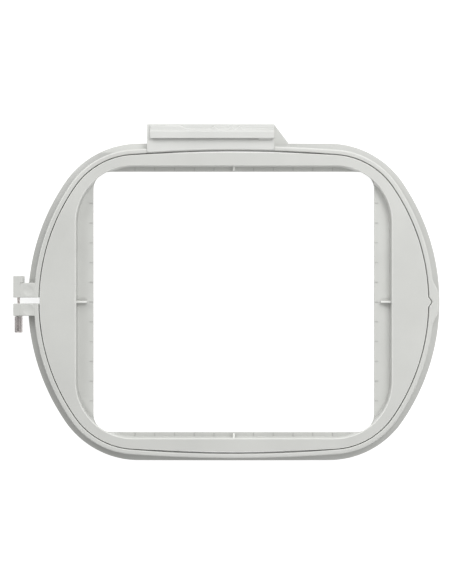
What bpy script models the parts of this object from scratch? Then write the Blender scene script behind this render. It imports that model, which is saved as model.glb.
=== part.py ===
"""Embroidery hoop: split outer frame with a clamp screw, inner frame and slide-in connector.

Metres, +Z up, lying flat on z = 0. The origin is the middle of the whole object's footprint.
Every outline below is written about the middle of the sewing field, and the objects are then
placed at HOOP_X, HOOP_Y. +X is the side with the V notch, +Y the side with the connector.
"""

import math

import bmesh
import bpy
from mathutils import Matrix, Vector

MM = 0.001

# Gaps between pieces, how far joined shapes reach into each other, and the span of a through cut
FIT_GAP = 0.3 * MM
THIN_GAP = 0.2 * MM
ROOT = 0.8 * MM
THROUGH_LOW = -5.0 * MM
THROUGH_HIGH = 30.0 * MM

# Heights
RIM_TOP = 13.0 * MM
FLANGE_TOP = 4.0 * MM
FLANGE_BOTTOM = 1.4 * MM
LEDGE_TOP = 2.4 * MM
EDGE_BEVEL = 0.6 * MM

# Barrel outlines: half length, half width, radius of the short sides, of the long sides, of the corners
GAP_IN = (195.15 * MM, 150.4 * MM, 202.9 * MM, 1750 * MM, 74.4 * MM)
GAP_OUT = (196.05 * MM, 152.5 * MM, 203.8 * MM, 1250 * MM, 75.3 * MM)
LIP_OUT = (200.8 * MM, 156.7 * MM, 208.5 * MM, 1443 * MM, 80.0 * MM)
FLANGE_OUT = (208.3 * MM, 160.5 * MM, 213.9 * MM, 30000 * MM, 90.4 * MM)

# Rounded rectangles: half length, half width, corner radius
RIM_INNER = (158.5 * MM, 136.7 * MM, 57.2 * MM)
WINDOW = (142.2 * MM, 131.9 * MM, 17.7 * MM)
LEDGE_BLANK = (137.0 * MM, 127.0 * MM, 30.0 * MM)

# Inner frame: walls over the open underside, stiffening ribs, centre gussets
WALL = 2.2 * MM
CHANNEL_TOP = 10.8 * MM
RIB_THICKNESS = 1.6 * MM
SIDE_RIBS = [y * MM for y in (-92, -69, -46, -23, 0, 23, 46, 69, 92)]
LONG_RIBS = [x * MM for x in (-96, -64, -32, 0, 32, 64, 96)]
RIB_BOTTOM = 0.8 * MM
GUSSET_THICKNESS = 2.0 * MM
GUSSET_LENGTH_SIDE = 10.2 * MM
GUSSET_LENGTH_LONG = 4.0 * MM
GUSSET_TOP = 11.0 * MM
GUSSET_END_TOP = 3.6 * MM
WINDOW_RELIEF = 0.4 * MM

# V tab and notch, and the lip's swelling behind the notch
NOTCH_HALF = 5.4 * MM
NOTCH_DEPTH = 3.4 * MM
SWELL_FULL = 10.0 * MM
SWELL_END = 26.0 * MM
SWELL_SIZE = 5.2 * MM

# Clamp ears on the -X side
EAR_REACH = 221.5 * MM
EAR_ROOT = 197.5 * MM
EAR_GAP = (-1.6 * MM, 4.4 * MM)
LOWER_EAR_END = -13.9 * MM
UPPER_EAR_END = 19.3 * MM
NUT_BOSS_END = 26.2 * MM
NUT_BOSS_INNER = 212.6 * MM
EAR_WEB_TOP = 12.4 * MM
EAR_RIDGE_INNER = 214.8 * MM
DISH_X = 205.6 * MM
DISH_Y = (11.6 * MM, -7.9 * MM)
DISH_RADIUS = 6.4 * MM
DISH_DEPTH = 0.7 * MM

# Clamp screw, washer and nut, all on one axis along Y
SCREW_X = 217.2 * MM
SCREW_Z = 6.5 * MM
SHANK_RADIUS = 1.45 * MM
SHANK_END = 24.2 * MM
EAR_HOLE_RADIUS = 1.75 * MM
EAR_HOLE_START = -20.0 * MM
EAR_HOLE_END = 24.9 * MM
HEAD_RADIUS = 4.05 * MM
HEAD_END = -31.0 * MM
HEAD_CHAMFER = 0.7 * MM
SLOT_WIDTH = 1.2 * MM
SLOT_DEPTH = 1.4 * MM
SHANK_POINT = 0.5 * MM
WASHER_RADIUS = 3.9 * MM
WASHER_THICKNESS = 0.6 * MM
NUT_SIDE = 5.5 * MM
NUT_THICKNESS = 2.4 * MM
NUT_START = 20.8 * MM
NUT_HOLE_RADIUS = 1.6 * MM

# Connector on the +Y side
CONN_LEFT = -87.1 * MM
CONN_RIGHT = 40.3 * MM
CONN_BACK = 178.6 * MM
CONN_FRONT = 157.4 * MM
SEAT_TOP = 11.0 * MM
PLATE_TOP = 14.0 * MM
CAM_TOP = 16.8 * MM
RAIL_TOP = 18.0 * MM
RAIL_LEFT = -83.6 * MM
RAIL_FRONT = 164.5 * MM
RAIL_STEM = 166.6 * MM
RAIL_UNDERCUT = 16.0 * MM
RAIL_BACK = 172.0 * MM
CAM_HIGH = 176.6 * MM
CAM_LOW = 173.7 * MM
CAM_SLOPE = (-53.7 * MM, -47.0 * MM)
CAM_BUMPS = [x * MM for x in (-19.8, -2.4, 5.6)]
CAM_BUMP_HALF = 3.2 * MM
DETENT = (24.8 * MM, 38.8 * MM, 163.6 * MM)
GROOVE_DEPTH = 4.0 * MM
GROOVE_HEIGHTS = (6.5 * MM, 10.0 * MM)
GROOVE_LEFT = -80.0 * MM
PAD_TOP = 3.0 * MM
PAD_BACK = 180.2 * MM
PAD_TIP = (54.9 * MM, 161.4 * MM)
PAD_RIGHT = 39.3 * MM
POCKET_FRONT = 160.0 * MM
POCKET_BACK = 172.0 * MM
POCKET_TOP = 11.4 * MM
PLATE_ROOT = 4.0 * MM
BLOCK_HALF = 6.0 * MM

# Connector screws, from below
CONN_SCREW_X = [x * MM for x in (-78.5, -42.0, -5.0, 31.5)]
CONN_SCREW_Y = 168.0 * MM
CONN_SCREW_SHANK = 1.3 * MM
CONN_SCREW_TOP = 10.8 * MM
CONN_SCREW_HEAD = 2.8 * MM
CONN_SCREW_HEAD_BOTTOM = 0.1 * MM
CONN_SCREW_HEAD_TOP = 1.5 * MM
PAD_HOLE_RADIUS = 1.8 * MM
COUNTERBORE_RADIUS = 3.2 * MM
COUNTERBORE_TOP = 1.8 * MM
BLIND_HOLE_RADIUS = 1.6 * MM
BLIND_HOLE_TOP = 11.6 * MM

# Placing: the middle of the footprint is the origin
HOOP_X = (EAR_REACH - FLANGE_OUT[0]) / 2
HOOP_Y = (FLANGE_OUT[1] - PAD_BACK) / 2

# Stations along the outlines of one quarter
NEAR_STATIONS = [0.0, NOTCH_HALF, SWELL_FULL] + [y * MM for y in (13, 16, 19, 22)] + [SWELL_END]
SIDE_STATIONS = 5
CORNER_STATIONS = 10
LONG_STATIONS = 5


def clear_scene():
    for obj in list(bpy.data.objects):
        bpy.data.objects.remove(obj, do_unlink=True)


def grown(outline, distance):
    """The parallel outline this far outside a barrel or a rounded rectangle."""
    return tuple(size + distance for size in outline)


def quarter_side_heights(top):
    """Stations along a short side, from its middle up to where the corner's arc starts."""
    rest = (top - NEAR_STATIONS[-1]) / SIDE_STATIONS
    return NEAR_STATIONS + [NEAR_STATIONS[-1] + rest * (k + 1) for k in range(SIDE_STATIONS)]


def arc(centre, radius, start, end, steps):
    """Points along an arc, without its first one."""
    angles = [start + (end - start) * (k + 1) / steps for k in range(steps)]
    return [(centre[0] + radius * math.cos(a), centre[1] + radius * math.sin(a)) for a in angles]


def barrel_quarter(half_x, half_y, side_radius, long_radius, corner_radius):
    """A quarter from (half_x, 0) to (0, half_y): side arc, corner arc, long arc, all tangent."""
    side_x = half_x - side_radius
    long_y = half_y - long_radius
    to_side = side_radius - corner_radius
    to_long = long_radius - corner_radius
    apart = math.hypot(side_x, long_y)
    along = (to_side**2 - to_long**2 + apart**2) / (2 * apart)
    across = math.sqrt(to_side**2 - along**2)
    unit = (-side_x / apart, long_y / apart)
    corner = (side_x + along * unit[0] - across * unit[1], along * unit[1] + across * unit[0])
    side_angle = math.atan2(corner[1], corner[0] - side_x)
    long_angle = math.atan2(corner[1] - long_y, corner[0])
    heights = quarter_side_heights(side_radius * math.sin(side_angle))
    side = [(side_x + math.sqrt(side_radius**2 - y * y), y) for y in heights]
    turn = arc(corner, corner_radius, side_angle, long_angle, CORNER_STATIONS)
    top = arc((0.0, long_y), long_radius, long_angle, math.pi / 2, LONG_STATIONS)
    return side + turn + top


def rectangle_quarter(half_x, half_y, radius):
    """The same stations on a rounded rectangle."""
    centre = (half_x - radius, half_y - radius)
    side = [(half_x, y) for y in quarter_side_heights(centre[1])]
    turn = arc(centre, radius, 0.0, math.pi / 2, CORNER_STATIONS)
    top = [(centre[0] * (1 - (k + 1) / LONG_STATIONS), half_y) for k in range(LONG_STATIONS)]
    return side + turn + top


def full_outline(quarter):
    """Mirrors a quarter into a closed outline that runs anticlockwise from +X."""
    upper = quarter + [(-x, y) for x, y in reversed(quarter[:-1])]
    return upper + [(x, -y) for x, y in reversed(upper[1:-1])]


def swell(y):
    """How far the lip swells outwards behind the notch."""
    if abs(y) <= SWELL_FULL:
        return SWELL_SIZE
    if abs(y) >= SWELL_END:
        return 0.0
    return SWELL_SIZE * ((SWELL_END - abs(y)) / (SWELL_END - SWELL_FULL)) ** 2.5


def barrel(outline, notch=False, swollen=False):
    points = full_outline(barrel_quarter(*outline))
    if notch:
        points[0] = (points[0][0] + NOTCH_DEPTH, 0.0)
    if swollen:
        points = [(x + swell(y), y) if x > 0 else (x, y) for x, y in points]
    return points


def rounded(outline):
    return full_outline(rectangle_quarter(*outline))


def mesh_object(name, mesh_builder, material, location=(HOOP_X, HOOP_Y, 0.0)):
    """A new object whose mesh the builder fills in, with its faces turned outwards."""
    built = bmesh.new()
    mesh_builder(built)
    bmesh.ops.recalc_face_normals(built, faces=built.faces)
    mesh = bpy.data.meshes.new(name)
    built.to_mesh(mesh)
    built.free()
    obj = bpy.data.objects.new(name, mesh)
    bpy.context.scene.collection.objects.link(obj)
    obj.location = location
    if material:
        mesh.materials.append(material)
    return obj


def add_band(built, ring, following):
    """The faces between two matching closed loops of vertices."""
    count = len(ring)
    for k in range(count):
        after = (k + 1) % count
        built.faces.new((ring[k], ring[after], following[after], following[k]))


def add_sweep(built, rings):
    """A closed section, given as (outline, height) rings, carried round the whole outline."""
    loops = [[built.verts.new((x, y, z)) for x, y in outline] for outline, z in rings]
    for ring, following in zip(loops, loops[1:] + loops[:1]):
        add_band(built, ring, following)


def add_loft(built, loops):
    """A closed solid through matching loops of points, with flat ends."""
    rings = [[built.verts.new(point) for point in loop] for loop in loops]
    for ring, following in zip(rings, rings[1:]):
        add_band(built, ring, following)
    built.faces.new(rings[0])
    built.faces.new(rings[-1])


def add_prism(built, outline, low, high):
    add_loft(built, [[(x, y, z) for x, y in outline] for z in (low, high)])


def add_bar(built, section, x_range):
    """A straight bar along X with a section given as (y, z) points."""
    add_loft(built, [[(x, y, z) for y, z in section] for x in x_range])


def add_box(built, x_range, y_range, z_range):
    corners = [
        (x_range[0], y_range[0]),
        (x_range[1], y_range[0]),
        (x_range[1], y_range[1]),
        (x_range[0], y_range[1]),
    ]
    add_prism(built, corners, *z_range)


def add_cylinder(built, centre, radius, low, high, axis="Z", sides=24):
    """A cylinder between two places along its axis, which passes through the centre."""
    turn = Matrix.Rotation(-math.pi / 2, 4, "X") if axis == "Y" else Matrix.Identity(4)
    middle = Matrix.Translation((0, 0, (low + high) / 2))
    bmesh.ops.create_cone(
        built,
        cap_ends=True,
        segments=sides,
        radius1=radius,
        radius2=radius,
        depth=high - low,
        matrix=Matrix.Translation(centre) @ turn @ middle,
    )


def add_turned(built, profile, sides):
    """A solid of revolution about the Y axis: (place along Y, radius) from end to end."""
    angles = [2 * math.pi * k / sides for k in range(sides)]
    loops = []
    for place, radius in profile:
        loops.append([(radius * math.cos(a), place, radius * math.sin(a)) for a in angles])
    add_loft(built, loops)


def combine(target, operation, name, mesh_builder):
    """Joins a helper solid to the target, or cuts it away, with a Boolean that stays on the object."""
    helper = mesh_object(name, mesh_builder, None, location=target.location)
    helper.hide_render = True
    helper.display_type = "WIRE"
    modifier = target.modifiers.new(name, "BOOLEAN")
    modifier.operation = operation
    modifier.solver = "EXACT"
    modifier.use_self = operation == "UNION"
    modifier.object = helper


def plain_material(name, colour, roughness, metallic=0.0):
    material = bpy.data.materials.new(name)
    material.use_nodes = True
    shader = material.node_tree.nodes["Principled BSDF"]
    shader.inputs["Base Color"].default_value = (*colour, 1.0)
    shader.inputs["Roughness"].default_value = roughness
    shader.inputs["Metallic"].default_value = metallic
    return material


def frame_plastic():
    return plain_material("frame_plastic", (0.60, 0.60, 0.58), 0.45)


def inner_plastic():
    return plain_material("inner_plastic", (0.62, 0.62, 0.60), 0.45)


def connector_plastic():
    return plain_material("connector_plastic", (0.68, 0.68, 0.66), 0.42)


def screw_steel():
    return plain_material("screw_steel", (0.55, 0.54, 0.53), 0.35, 1.0)


def zinc_steel():
    return plain_material("zinc_steel", (0.60, 0.60, 0.58), 0.40, 1.0)


def add_outer_ring(built):
    """Wall with a bevelled lip, and the flange low on its outside."""
    wall_in = barrel(GAP_OUT, notch=True)
    add_sweep(
        built,
        [
            (wall_in, 0.0),
            (wall_in, RIM_TOP - EDGE_BEVEL),
            (barrel(grown(GAP_OUT, EDGE_BEVEL), notch=True), RIM_TOP),
            (barrel(grown(LIP_OUT, -EDGE_BEVEL / 2), swollen=True), RIM_TOP),
            (barrel(LIP_OUT, swollen=True), RIM_TOP - EDGE_BEVEL / 2),
            (barrel(LIP_OUT, swollen=True), FLANGE_TOP),
            (barrel(grown(FLANGE_OUT, -EDGE_BEVEL / 2)), FLANGE_TOP),
            (barrel(FLANGE_OUT), FLANGE_TOP - EDGE_BEVEL / 2),
            (barrel(FLANGE_OUT), FLANGE_BOTTOM),
            (barrel(LIP_OUT), FLANGE_BOTTOM),
            (barrel(LIP_OUT), 0.0),
        ],
    )


def add_ears(built):
    """Both ears as one block, which the split then parts, with the screw's ridge and the nut's boss."""
    add_box(built, (-EAR_REACH, -EAR_ROOT), (LOWER_EAR_END, UPPER_EAR_END), (0.0, EAR_WEB_TOP))


def add_screw_ridge(built):
    outline = [
        (-EAR_REACH, LOWER_EAR_END),
        (-EAR_RIDGE_INNER, LOWER_EAR_END),
        (-EAR_RIDGE_INNER, UPPER_EAR_END),
        (-NUT_BOSS_INNER, UPPER_EAR_END),
        (-NUT_BOSS_INNER, NUT_BOSS_END),
        (-EAR_REACH, NUT_BOSS_END),
    ]
    add_prism(built, outline, 0.0, RIM_TOP)


def add_split(built):
    x_range = (-EAR_REACH - EDGE_BEVEL, -GAP_IN[0] + WALL)
    add_box(built, x_range, EAR_GAP, (THROUGH_LOW, THROUGH_HIGH))


def add_dishes(built):
    """The shallow round finger dishes in the ears' tops, cut by two spheres."""
    radius = (DISH_RADIUS**2 + DISH_DEPTH**2) / (2 * DISH_DEPTH)
    for y in DISH_Y:
        place = Matrix.Translation((-DISH_X, y, EAR_WEB_TOP - DISH_DEPTH + radius))
        bmesh.ops.create_icosphere(built, subdivisions=4, radius=radius, matrix=place)


def add_screw_bores(built):
    """The clamp screw's clearance hole through both ears, blind in the boss."""
    centre = (-SCREW_X, 0.0, SCREW_Z)
    add_cylinder(built, centre, EAR_HOLE_RADIUS, EAR_HOLE_START, EAR_HOLE_END, axis="Y")


def add_nut_pocket(built):
    half = NUT_SIDE / 2 + FIT_GAP
    y_range = (NUT_START - FIT_GAP, NUT_START + NUT_THICKNESS + FIT_GAP)
    add_box(built, (-SCREW_X - half, -SCREW_X + half), y_range, (THROUGH_LOW, SCREW_Z + half))


def add_pad(built):
    """The mounting pad under the connector, with its sloping right end."""
    outline = [
        (CONN_LEFT, CONN_FRONT),
        (PAD_TIP[0], CONN_FRONT),
        PAD_TIP,
        (PAD_RIGHT, PAD_BACK),
        (CONN_LEFT, PAD_BACK),
    ]
    add_prism(built, outline, 0.0, PAD_TOP)


def add_connector_seat(built):
    """The stretch of lip and flange that makes room for the connector."""
    front = GAP_IN[1] - WALL
    back = PAD_BACK + WALL
    section = [
        (front, SEAT_TOP),
        (CONN_FRONT - FIT_GAP, SEAT_TOP),
        (CONN_FRONT - FIT_GAP, PAD_TOP),
        (back, PAD_TOP),
        (back, THROUGH_HIGH),
        (front, THROUGH_HIGH),
    ]
    add_bar(built, section, (CONN_LEFT - FIT_GAP, CONN_RIGHT + FIT_GAP))


def add_pad_holes(built):
    for x in CONN_SCREW_X:
        centre = (x, CONN_SCREW_Y, 0.0)
        add_cylinder(built, centre, PAD_HOLE_RADIUS, THROUGH_LOW, THROUGH_HIGH)


def add_counterbores(built):
    for x in CONN_SCREW_X:
        centre = (x, CONN_SCREW_Y, 0.0)
        add_cylinder(built, centre, COUNTERBORE_RADIUS, THROUGH_LOW, COUNTERBORE_TOP)


def make_outer_frame():
    frame = mesh_object("outer_frame", add_outer_ring, frame_plastic())
    combine(frame, "UNION", "ears_shape", add_ears)
    combine(frame, "UNION", "screw_ridge_shape", add_screw_ridge)
    combine(frame, "UNION", "pad_shape", add_pad)
    combine(frame, "DIFFERENCE", "split_cut", add_split)
    combine(frame, "DIFFERENCE", "dish_cut", add_dishes)
    combine(frame, "DIFFERENCE", "screw_bore_cut", add_screw_bores)
    combine(frame, "DIFFERENCE", "nut_pocket_cut", add_nut_pocket)
    combine(frame, "DIFFERENCE", "connector_seat_cut", add_connector_seat)
    combine(frame, "DIFFERENCE", "pad_hole_cut", add_pad_holes)
    combine(frame, "DIFFERENCE", "counterbore_cut", add_counterbores)
    return frame


def add_inner_ring(built):
    """Outer wall, flat rim, inner wall and ledge, with the underside open between the walls."""
    outside = barrel(GAP_IN, notch=True)
    add_sweep(
        built,
        [
            (outside, 0.0),
            (outside, RIM_TOP - EDGE_BEVEL),
            (barrel(grown(GAP_IN, -EDGE_BEVEL), notch=True), RIM_TOP),
            (rounded(grown(RIM_INNER, EDGE_BEVEL)), RIM_TOP),
            (rounded(RIM_INNER), RIM_TOP - EDGE_BEVEL),
            (rounded(RIM_INNER), LEDGE_TOP),
            (rounded(LEDGE_BLANK), LEDGE_TOP),
            (rounded(LEDGE_BLANK), 0.0),
            (rounded(grown(RIM_INNER, WALL)), 0.0),
            (rounded(grown(RIM_INNER, WALL)), CHANNEL_TOP),
            (barrel(grown(GAP_IN, -WALL)), CHANNEL_TOP),
            (barrel(grown(GAP_IN, -WALL)), 0.0),
        ],
    )


def side_reach(outline, y):
    """How far a barrel outline's short side reaches in X at this height Y."""
    quarter = barrel_quarter(*outline)
    for (x0, y0), (x1, y1) in zip(quarter, quarter[1:]):
        if y0 <= abs(y) <= y1:
            return x0 + (x1 - x0) * (abs(y) - y0) / (y1 - y0)
    return 0.0


def long_reach(outline, x):
    """How far a barrel outline's long side reaches in Y at this place X."""
    half_width, long_radius = outline[1], outline[3]
    return half_width - long_radius + math.sqrt(long_radius**2 - x * x)


def rim_reach(y):
    """How far the rim's inner edge reaches in X at this height Y."""
    half_x, half_y, radius = RIM_INNER
    past = max(abs(y) - (half_y - radius), 0.0)
    return half_x - radius + math.sqrt(radius**2 - past**2)


def add_stiffeners(built):
    """Thin ribs across the open underside, from wall to wall and up into the rim."""
    half = RIB_THICKNESS / 2
    heights = (RIB_BOTTOM, CHANNEL_TOP + ROOT)
    for y in SIDE_RIBS:
        near = rim_reach(y) + WALL / 2
        far = side_reach(GAP_IN, y) - WALL / 2
        add_box(built, (near, far), (y - half, y + half), heights)
        add_box(built, (-far, -near), (y - half, y + half), heights)
    for x in LONG_RIBS:
        near = RIM_INNER[1] + WALL / 2
        far = long_reach(GAP_IN, x) - WALL / 2
        add_box(built, (x - half, x + half), (near, far), heights)
        add_box(built, (x - half, x + half), (-far, -near), heights)


def add_gussets(built):
    """The four centre gussets on the ledge, sloping down from the rim's wall."""
    half = GUSSET_THICKNESS / 2
    sides = (
        (RIM_INNER[0], GUSSET_LENGTH_SIDE, 0.0),
        (RIM_INNER[1], GUSSET_LENGTH_LONG, math.pi / 2),
        (RIM_INNER[0], GUSSET_LENGTH_SIDE, math.pi),
        (RIM_INNER[1], GUSSET_LENGTH_LONG, 3 * math.pi / 2),
    )
    for wall, length, angle in sides:
        section = [
            (wall + ROOT, LEDGE_TOP - ROOT),
            (wall + ROOT, GUSSET_TOP),
            (wall, GUSSET_TOP),
            (wall - length, GUSSET_END_TOP),
            (wall - length, LEDGE_TOP - ROOT),
        ]
        turn = Matrix.Rotation(angle, 3, "Z")
        add_loft(built, [[turn @ Vector((r, s, z)) for r, z in section] for s in (-half, half)])


def held_within(outline, point):
    """Pulls a point that is past a rounded rectangle's corner arc back onto the arc."""
    half_x, half_y, radius = outline
    past_x = abs(point[0]) - (half_x - radius)
    past_y = abs(point[1]) - (half_y - radius)
    reach = math.hypot(past_x, past_y)
    if min(past_x, past_y) <= 0 or reach <= radius:
        return point
    x = half_x - radius + past_x * radius / reach
    y = half_y - radius + past_y * radius / reach
    return (math.copysign(x, point[0]), math.copysign(y, point[1]))


def add_window(built):
    """The sewing window, whose corners reach the wall, so that the ledge runs out there."""
    limit = grown(RIM_INNER, WINDOW_RELIEF)
    outline = [held_within(limit, point) for point in rounded(WINDOW)]
    add_prism(built, outline, THROUGH_LOW, LEDGE_TOP + ROOT)


def make_inner_frame():
    frame = mesh_object("inner_frame", add_inner_ring, inner_plastic())
    combine(frame, "UNION", "stiffener_shape", add_stiffeners)
    combine(frame, "UNION", "gusset_shape", add_gussets)
    combine(frame, "DIFFERENCE", "window_cut", add_window)
    return frame


def seat_curve(left, right, steps=16):
    """Points along the outer frame's inner wall, which the plate's front edge follows."""
    places = [left + (right - left) * k / steps for k in range(steps + 1)]
    return [(x, long_reach(GAP_OUT, x)) for x in places]


def add_connector_base(built):
    """The block behind the ring."""
    x_range = (CONN_LEFT, CONN_RIGHT)
    add_box(built, x_range, (CONN_FRONT, CONN_BACK), (PAD_TOP + FIT_GAP, PLATE_TOP))


def add_connector_plate(built):
    """The tongue of the plate that reaches over the seat, flush with the ring's inner wall."""
    back = [(x, CONN_FRONT + PLATE_ROOT) for x in (CONN_RIGHT, CONN_LEFT)]
    outline = seat_curve(CONN_LEFT, CONN_RIGHT) + back
    add_prism(built, outline, SEAT_TOP + FIT_GAP, PLATE_TOP)


def add_cam(built):
    """The coded edge: one long high stretch, a slope and three small peaks."""
    edge = [(RAIL_LEFT, CAM_HIGH), (CAM_SLOPE[0], CAM_HIGH), (CAM_SLOPE[1], CAM_LOW)]
    for x in CAM_BUMPS:
        edge += [(x - CAM_BUMP_HALF, CAM_LOW), (x, CAM_HIGH), (x + CAM_BUMP_HALF, CAM_LOW)]
    edge.append((CONN_RIGHT, CAM_LOW))
    front = [(x, RAIL_BACK - 2 * ROOT) for x in (CONN_RIGHT, RAIL_LEFT)]
    add_prism(built, edge + front, PLATE_TOP - ROOT / 2, CAM_TOP)


def add_rail(built):
    """The rail, with its front undercut."""
    bottom = PLATE_TOP - ROOT / 4
    section = [
        (RAIL_BACK, bottom),
        (RAIL_BACK, RAIL_TOP),
        (RAIL_FRONT, RAIL_TOP),
        (RAIL_FRONT, RAIL_UNDERCUT),
        (RAIL_STEM, RAIL_UNDERCUT),
        (RAIL_STEM, bottom),
    ]
    add_bar(built, section, (RAIL_LEFT, CONN_RIGHT))


def add_detent(built):
    """The small stop under the rail near its right end."""
    y_range = (DETENT[2], RAIL_STEM + ROOT)
    add_box(built, DETENT[:2], y_range, (PLATE_TOP - ROOT / 8, RAIL_UNDERCUT + ROOT))


def add_rear_groove(built):
    x_range = (GROOVE_LEFT, CONN_RIGHT + WALL)
    add_box(built, x_range, (CONN_BACK - GROOVE_DEPTH, CONN_BACK + WALL), GROOVE_HEIGHTS)


def add_pockets(built):
    """Hollows in the underside, between the blocks that the screws go into."""
    for left, right in zip(CONN_SCREW_X, CONN_SCREW_X[1:]):
        x_range = (left + BLOCK_HALF, right - BLOCK_HALF)
        add_box(built, x_range, (POCKET_FRONT, POCKET_BACK), (THROUGH_LOW, POCKET_TOP))


def add_blind_holes(built):
    for x in CONN_SCREW_X:
        centre = (x, CONN_SCREW_Y, 0.0)
        add_cylinder(built, centre, BLIND_HOLE_RADIUS, THROUGH_LOW, BLIND_HOLE_TOP, sides=16)


def make_connector():
    body = mesh_object("connector_body", add_connector_base, connector_plastic())
    combine(body, "UNION", "plate_shape", add_connector_plate)
    combine(body, "UNION", "cam_shape", add_cam)
    combine(body, "UNION", "rail_shape", add_rail)
    combine(body, "UNION", "detent_shape", add_detent)
    combine(body, "DIFFERENCE", "rear_groove_cut", add_rear_groove)
    combine(body, "DIFFERENCE", "pocket_cut", add_pockets)
    combine(body, "DIFFERENCE", "blind_hole_cut", add_blind_holes)
    return body


def add_connector_screw(built):
    """A pan head screw that points up, with its head at the bottom."""
    add_cylinder(built, (0, 0, 0), CONN_SCREW_HEAD, CONN_SCREW_HEAD_BOTTOM, CONN_SCREW_HEAD_TOP)


def add_connector_shank(built):
    low = CONN_SCREW_HEAD_TOP - ROOT
    add_cylinder(built, (0, 0, 0), CONN_SCREW_SHANK, low, CONN_SCREW_TOP, sides=16)


def make_connector_screws():
    steel = zinc_steel()
    for number, x in enumerate(CONN_SCREW_X, 1):
        place = (HOOP_X + x, HOOP_Y + CONN_SCREW_Y, 0.0)
        screw = mesh_object(f"connector_screw_{number}", add_connector_screw, steel, place)
        combine(screw, "UNION", f"connector_shank_{number}", add_connector_shank)


def add_clamp_screw(built):
    """Head and shank as one turned piece about the origin's Y axis."""
    head_face = LOWER_EAR_END - 2 * THIN_GAP - WASHER_THICKNESS
    profile = [
        (HEAD_END, HEAD_RADIUS - HEAD_CHAMFER),
        (HEAD_END + HEAD_CHAMFER, HEAD_RADIUS),
        (head_face - HEAD_CHAMFER / 2, HEAD_RADIUS),
        (head_face, HEAD_RADIUS - HEAD_CHAMFER / 2),
        (head_face, SHANK_RADIUS),
        (SHANK_END - SHANK_POINT, SHANK_RADIUS),
        (SHANK_END, SHANK_RADIUS - SHANK_POINT),
    ]
    add_turned(built, profile, sides=32)


def add_driver_slot(built):
    half = SLOT_WIDTH / 2
    y_range = (HEAD_END - SLOT_DEPTH, HEAD_END + SLOT_DEPTH)
    add_box(built, (-half, half), y_range, (-2 * HEAD_RADIUS, 2 * HEAD_RADIUS))


def make_clamp_screw():
    place = (HOOP_X - SCREW_X, HOOP_Y, SCREW_Z)
    screw = mesh_object("clamp_screw", add_clamp_screw, screw_steel(), place)
    combine(screw, "DIFFERENCE", "driver_slot_cut", add_driver_slot)
    return screw


def add_washer(built):
    inner_face = LOWER_EAR_END - THIN_GAP
    outer_face = inner_face - WASHER_THICKNESS
    add_cylinder(built, (0, 0, 0), WASHER_RADIUS, outer_face, inner_face, axis="Y")


def add_washer_hole(built):
    low = LOWER_EAR_END - 2 * WASHER_THICKNESS
    add_cylinder(built, (0, 0, 0), EAR_HOLE_RADIUS, low - ROOT, LOWER_EAR_END, axis="Y")


def make_washer():
    place = (HOOP_X - SCREW_X, HOOP_Y, SCREW_Z)
    washer = mesh_object("clamp_washer", add_washer, zinc_steel(), place)
    combine(washer, "DIFFERENCE", "washer_hole_cut", add_washer_hole)
    return washer


def add_nut(built):
    half = NUT_SIDE / 2
    add_box(built, (-half, half), (NUT_START, NUT_START + NUT_THICKNESS), (-half, half))


def add_nut_hole(built):
    y_range = (NUT_START - ROOT, NUT_START + NUT_THICKNESS + ROOT)
    add_cylinder(built, (0, 0, 0), NUT_HOLE_RADIUS, *y_range, axis="Y", sides=32)


def make_nut():
    place = (HOOP_X - SCREW_X, HOOP_Y, SCREW_Z)
    nut = mesh_object("clamp_nut", add_nut, zinc_steel(), place)
    combine(nut, "DIFFERENCE", "nut_hole_cut", add_nut_hole)
    return nut


def main():
    clear_scene()
    make_outer_frame()
    make_inner_frame()
    make_connector()
    make_connector_screws()
    make_clamp_screw()
    make_washer()
    make_nut()


main()
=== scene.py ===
"""How the embroidery hoop looks: two finely rounded satin mouldings, the machine connector with its
rail and coded edge, and a fluted thumb screw. Metres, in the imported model's own frame.

Shapes are written about the middle of the sewing field, and each piece's object is placed there. Only
the clamp's screw, washer and nut are written about the screw's axis, and the connector's screws about
their own.
"""

import math

import bmesh
import bpy
from mathutils import Matrix, Vector


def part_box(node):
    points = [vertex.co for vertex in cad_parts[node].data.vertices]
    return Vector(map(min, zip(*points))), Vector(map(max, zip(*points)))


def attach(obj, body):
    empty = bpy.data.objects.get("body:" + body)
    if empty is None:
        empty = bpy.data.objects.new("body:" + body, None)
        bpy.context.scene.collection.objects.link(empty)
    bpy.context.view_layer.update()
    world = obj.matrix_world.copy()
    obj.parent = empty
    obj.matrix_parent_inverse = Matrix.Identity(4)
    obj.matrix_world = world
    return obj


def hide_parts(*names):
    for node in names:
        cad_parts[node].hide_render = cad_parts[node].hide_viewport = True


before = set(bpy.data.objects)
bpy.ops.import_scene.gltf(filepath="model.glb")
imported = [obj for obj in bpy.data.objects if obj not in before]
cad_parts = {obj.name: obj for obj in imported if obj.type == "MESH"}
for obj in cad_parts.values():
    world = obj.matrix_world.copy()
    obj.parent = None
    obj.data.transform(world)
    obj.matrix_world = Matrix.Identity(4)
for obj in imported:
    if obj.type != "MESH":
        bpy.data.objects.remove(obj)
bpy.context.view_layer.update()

MM = 0.001


# ---------------------------------------------------------------- sizes, from the frame

INNER_LOW, INNER_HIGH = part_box("inner_frame")
OUTER_LOW, OUTER_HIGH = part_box("outer_frame")
CONN_LOW, CONN_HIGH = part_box("connector_body")
SCREW_LOW, SCREW_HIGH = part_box("clamp_screw")
WASHER_LOW, WASHER_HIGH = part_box("clamp_washer")
NUT_LOW, NUT_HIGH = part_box("clamp_nut")

# The middle of the sewing field. The inner frame's alignment tab reaches past its outline at one end only
GAP_IN_HALF_X = 195.15 * MM
MIDDLE_X = INNER_LOW.x + GAP_IN_HALF_X
MIDDLE_Y = (INNER_LOW.y + INNER_HIGH.y) / 2
MIDDLE = Vector((MIDDLE_X, MIDDLE_Y, 0.0))

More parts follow.
